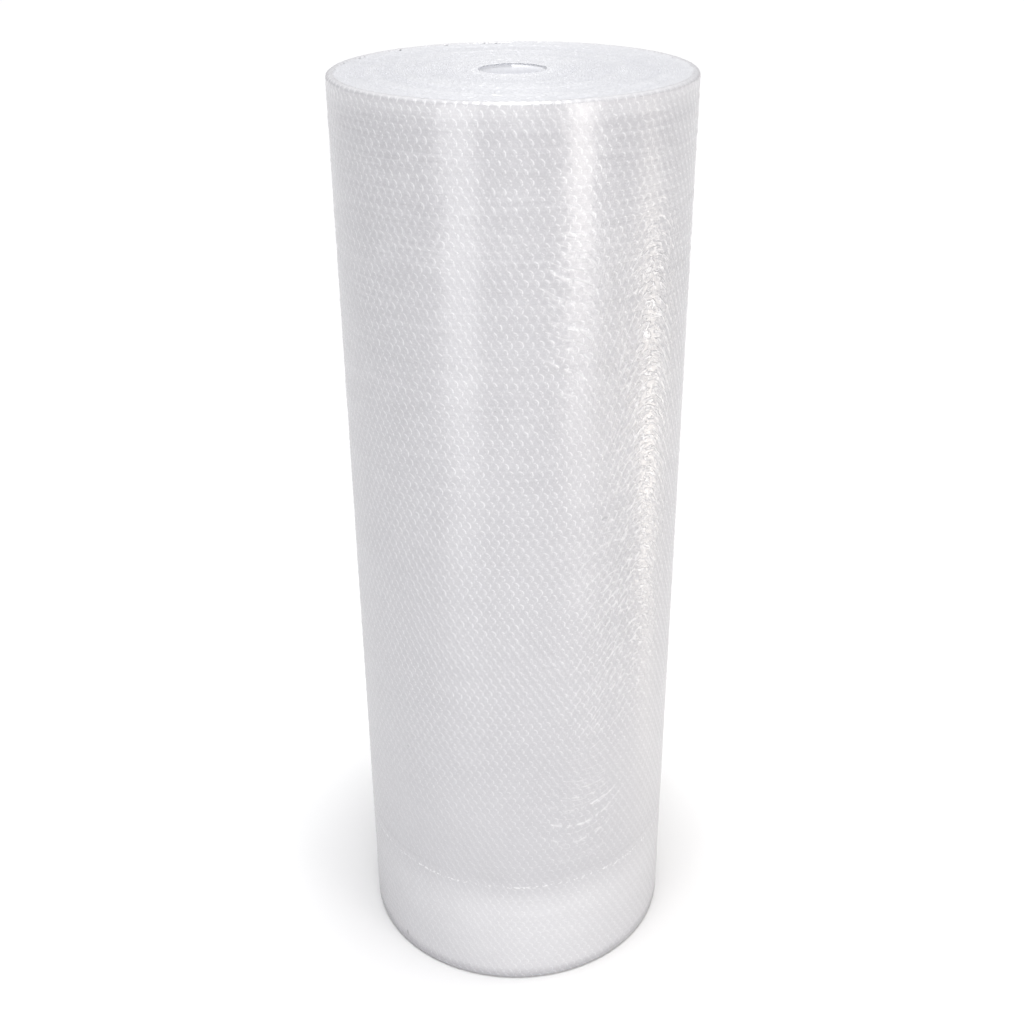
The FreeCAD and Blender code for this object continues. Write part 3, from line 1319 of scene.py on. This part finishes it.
@dataclass(frozen=True)
class FilmFinish:
    """Clear film over trapped air: milky and faintly lilac, under a taut glossy face.

    taut is how far the gloss follows the drawn film and not the bubbles under it, and stretch
    how much such gloss runs out into bands up the roll.
    """

    name: str
    shade: Colour
    pale: Colour
    roughness: tuple[float, float]
    rings: float
    streaks: float = 0.0
    clouds: float = 0.6
    # Strength of the painted light and shade that follows the height of the film edges.
    crest_shade: float = 0.0
    coat: float = 0.1
    relief: float = 0.6
    ripple: float = 0.4
    taut: float = 0.0
    # A painted glow: emission from a finish that is no lamp.
    glow: float = 0.0
    gloss: float = 1.0
    stretch: float = 1.05
    film_ior: float = 1.68
    relief_depth: float = 0.0005
    ripple_depth: float = 0.0006

    def build(self, marks: bpy.types.NodeTree, form: RollForm) -> bpy.types.Material:
        """Make the material around the shared marks group.

        Args:
            marks: The group of bubble marks.
            form: The roll's sizes.

        Returns:
            The material.
        """
        material = bpy.data.materials.new(self.name)
        material.use_nodes = True
        graph = Graph(material.node_tree)
        group = graph.node("ShaderNodeGroup", node_tree=marks)
        graph.feed(group.inputs["Ring Strength"], self.rings)
        graph.feed(group.inputs["Streak Strength"], self.streaks)
        graph.feed(group.inputs["Cloud Strength"], self.clouds)
        graph.feed(group.inputs["Crest Shade Strength"], self.crest_shade)
        mix = graph.node("ShaderNodeMix", data_type="RGBA")
        graph.feed(mix.inputs[0], graph.out(group, "Paleness"))
        graph.feed(mix.inputs[6], self.shade)
        graph.feed(mix.inputs[7], self.pale)
        low, high = self.roughness
        rough = graph.out(group, "Haze") * (high - low) + low
        under = graph.node("ShaderNodeBump", {
            "Strength": self.relief, "Distance": self.relief_depth,
            "Height": graph.out(group, "Relief"),
        })
        face = graph.node("ShaderNodeBump", {
            "Strength": self.ripple, "Distance": self.ripple_depth,
            "Height": graph.out(group, "Ripple"), "Normal": self._taut_normal(graph, form),
        })
        hoop = graph.node("ShaderNodeTangent", direction_type="RADIAL", axis="Z")
        shader = graph.node("ShaderNodeBsdfPrincipled", {
            "Base Color": Field(graph, mix.outputs[2]),
            "Roughness": rough,
            "IOR": self.film_ior,
            "Specular IOR Level": self.gloss,
            "Normal": graph.out(face),
            "Anisotropic": self.stretch * self.taut,
            "Anisotropic Rotation": 0.25,
            "Tangent": graph.out(hoop),
            "Coat Weight": self.coat,
            "Coat Roughness": 0.20,
            "Coat IOR": 1.5,
            "Coat Normal": graph.out(under),
            "Emission Color": self.pale,
            "Emission Strength": self.glow,
        })
        graph.node("ShaderNodeOutputMaterial", {"Surface": graph.out(shader)})
        return material

    def _taut_normal(self, graph: Graph, form: RollForm) -> Field:
        """Lean the surface normal towards that of a smooth drawn cylinder.

        Args:
            graph: The material's tree.
            form: The roll's sizes.

        Returns:
            The leaning normal.
        """
        x, y, _ = graph.parts(graph.out(graph.node("ShaderNodeTexCoord"), "Object"))
        real = graph.out(graph.node("ShaderNodeNewGeometry"), "Normal")
        _, _, tip = graph.parts(real)
        upright = 1.0 - graph.ramp(graph.math("ABSOLUTE", tip), 0.25, 0.7)
        smooth = graph.vector(x / form.radius, y / form.radius, 0.0)
        mix = graph.node("ShaderNodeMix", data_type="VECTOR")
        graph.feed(mix.inputs[0], upright * self.taut)
        graph.feed(mix.inputs[4], real)
        graph.feed(mix.inputs[5], smooth)
        unit = graph.node("ShaderNodeVectorMath", {0: Field(graph, mix.outputs[1])},
                          operation="NORMALIZE")
        return graph.out(unit)


@dataclass(frozen=True)
class SoftBox:
    """A rectangular studio light aimed at a point."""

    name: str
    place: tuple[float, float, float]
    aim: tuple[float, float, float]
    size: tuple[float, float]
    power: float
    colour: tuple[float, float, float] = (1.0, 1.0, 1.0)

    def build(self) -> None:
        """Put the light in the scene."""
        light = bpy.data.lights.new(self.name, "AREA")
        light.shape = "RECTANGLE"
        light.size, light.size_y = self.size
        light.energy = self.power
        light.color = self.colour
        lamp = bpy.data.objects.new(self.name, light)
        away = Vector(self.aim) - Vector(self.place)
        turn = away.to_track_quat("-Z", "Y").to_matrix().to_4x4()
        lamp.matrix_world = Matrix.Translation(self.place) @ turn
        bpy.context.scene.collection.objects.link(lamp)


@dataclass(frozen=True)
class Studio:
    """The plain white floor, the sky light, the wide overhead light and the soft boxes."""

    floor_reach: float = 30.0
    sky: float = 0.313
    overhead: float = 0.695
    overhead_spread: float = math.radians(22.0)
    overhead_lean: tuple[float, float] = (0.0, -0.04)
    floor_albedo: float = 0.86
    floor_lift: tuple[float, float] = (0.03, 0.16)
    clear_reach: tuple[float, float] = (0.22, 0.52)
    boxes: Sequence[SoftBox] = (
        SoftBox("left_softbox", (-0.78, -1.31, 0.95), (0.0, 0.0, 0.85), (0.60, 1.2), 3.3),
        SoftBox("front_softbox", (0.97, -1.17, 1.00), (0.0, 0.0, 0.95), (0.42, 1.0), 4.0,
                (1.0, 0.96, 0.92)),
        SoftBox("right_softbox", (1.03, 0.04, 0.48), (0.0, 0.0, 0.65), (0.20, 0.55), 1.35,
                (1.0, 0.92, 0.80)),
        SoftBox("fill_softbox", (0.1, -2.6, 2.2), (0.0, 0.0, 0.75), (1.2, 1.2), 11.8),
    )

    def build(self) -> None:
        """Build the stage and the lights."""
        reach = self.floor_reach
        corners = [(-reach, -reach, 0.0), (reach, -reach, 0.0), (reach, reach, 0.0),
                   (-reach, reach, 0.0)]
        mesh = bpy.data.meshes.new("studio_floor")
        mesh.from_pydata(corners, [], [(0, 1, 2, 3)])
        floor = bpy.data.objects.new("studio_floor", mesh)
        bpy.context.scene.collection.objects.link(floor)
        mesh.materials.append(self._floor_material())
        self._sky_light()
        self._overhead_light()
        for box in self.boxes:
            box.build()

    def _sky_light(self) -> None:
        """Light the stage from all round, with a pure white view past the floor."""
        world = bpy.data.worlds.new("studio_sky")
        bpy.context.scene.world = world
        world.use_nodes = True
        graph = Graph(world.node_tree)
        feeds = {"Color": (0.975, 0.972, 1.0, 1.0), "Strength": self.sky}
        sky = graph.node("ShaderNodeBackground", feeds)
        white = graph.node("ShaderNodeBackground", {"Color": (1.0, 1.0, 1.0, 1.0), "Strength": 1.0})
        path = graph.node("ShaderNodeLightPath")
        both = graph.node("ShaderNodeMixShader", {
            0: graph.out(path, "Is Camera Ray"), 1: graph.out(sky), 2: graph.out(white)
        })
        graph.node("ShaderNodeOutputWorld", {"Surface": graph.out(both)})

    def _overhead_light(self) -> None:
        """Hang the wide overhead light that gives the foot its soft shadow."""
        light = bpy.data.lights.new("overhead_light", "SUN")
        light.energy = self.overhead * math.pi
        light.angle = self.overhead_spread
        lamp = bpy.data.objects.new("overhead_light", light)
        towards = Vector((*self.overhead_lean, 1.0))
        lamp.matrix_world = towards.to_track_quat("Z", "Y").to_matrix().to_4x4()
        bpy.context.scene.collection.objects.link(lamp)

    def _floor_material(self) -> bpy.types.Material:
        """Make the floor: matt white that keeps its shadow and is lifted to pure white.

        Returns:
            The material.
        """
        material = bpy.data.materials.new("studio_floor")
        material.use_nodes = True
        graph = Graph(material.node_tree)
        tone = (self.floor_albedo, self.floor_albedo, self.floor_albedo, 1.0)
        matt = graph.node("ShaderNodeBsdfDiffuse", {"Color": tone})
        path = graph.node("ShaderNodeLightPath")
        seen = graph.math("MAXIMUM", graph.out(path, "Is Camera Ray"),
                          graph.out(path, "Is Glossy Ray"))
        seen = graph.math("MAXIMUM", seen, graph.out(path, "Is Transmission Ray"))
        x, y, _ = graph.parts(graph.out(graph.node("ShaderNodeTexCoord"), "Object"))
        away = graph.ramp(graph.math("SQRT", x * x + y * y), *self.clear_reach)
        near, far = self.floor_lift
        lift = away * (far - near) + near
        glow = graph.node("ShaderNodeEmission", {"Strength": seen * lift})
        both = graph.node("ShaderNodeAddShader", {0: graph.out(matt), 1: graph.out(glow)})
        graph.node("ShaderNodeOutputMaterial", {"Surface": graph.out(both)})
        return material


@dataclass(frozen=True)
class PhotoCamera:
    """The camera at the photograph's viewing angle."""

    distance: float = 1.5843
    height: float = 1.4478
    pitch: float = math.radians(27.283)
    yaw: float = 0.00195
    roll: float = -0.00670
    lens: float = 47.0

    def build(self) -> None:
        """Put the camera in the scene."""
        data = bpy.data.cameras.new("photo_camera")
        data.lens = self.lens
        data.sensor_width = 36.0
        data.clip_start = 0.05
        camera = bpy.data.objects.new("photo_camera", data)
        turn = Matrix.Rotation(self.yaw, 4, "Z") @ Matrix.Rotation(0.5 * math.pi - self.pitch, 4, "X")
        tilt = Matrix.Rotation(self.roll, 4, "Z")
        camera.matrix_world = Matrix.Translation((0.0, -self.distance, self.height)) @ turn @ tilt
        bpy.context.scene.collection.objects.link(camera)
        bpy.context.scene.camera = camera


def attach(pieces: Iterable[bpy.types.Object]) -> None:
    """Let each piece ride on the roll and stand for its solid.

    Args:
        pieces: The dressed pieces.
    """
    for piece in pieces:
        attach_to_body(piece, BODY)
        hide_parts(NODE)
        piece.data.calc_loop_triangles()
        LOG.info("%s: %d triangles", piece.name, len(piece.data.loop_triangles))


def main() -> None:
    """Build the dressed roll, its studio and its camera."""
    logging.basicConfig(level=logging.INFO)
    form = RollForm.from_frame()
    lattice = BubbleLattice()
    film = OuterFilm(form, lattice)
    marks = BubbleMarks(lattice.pitch(form), film.length() / film.rows(), form.height).build()
    wall_finish = FilmFinish(
        "outer_film", (0.46, 0.453, 0.482, 1.0), (0.93, 0.925, 0.945, 1.0), (0.25, 0.37),
        rings=1.0, streaks=1.0, clouds=1.0, coat=0.5, ripple=0.9, taut=0.85,
    ).build(marks, form)
    end_finish = FilmFinish(
        "film_edges", (0.82, 0.825, 0.86, 1.0), (0.93, 0.935, 0.955, 1.0), (0.35, 0.55),
        rings=0.4, crest_shade=1.4, gloss=0.3,
    ).build(marks, form)
    # The eye's finish glows to light its inside: a painted glow.
    eye_finish = FilmFinish(
        "eye_film", (0.82, 0.825, 0.86, 1.0), (0.93, 0.935, 0.95, 1.0), (0.35, 0.55),
        rings=0.6, glow=0.175, gloss=0.4,
    ).build(marks, form)
    PhotoCamera().build()
    Studio().build()

    dressed = [(film, wall_finish)]
    dressed += [(WoundEnd(form, end), end_finish) for end in RollEnd]
    dressed += [(WindingEye(form), eye_finish), (FreeEdge(form, lattice), wall_finish)]
    for part, finish in dressed:
        part.build(finish)
        attach(part.pieces)
    bpy.context.scene.view_settings.view_transform = "Standard"


if __name__ == "__main__":
    main()
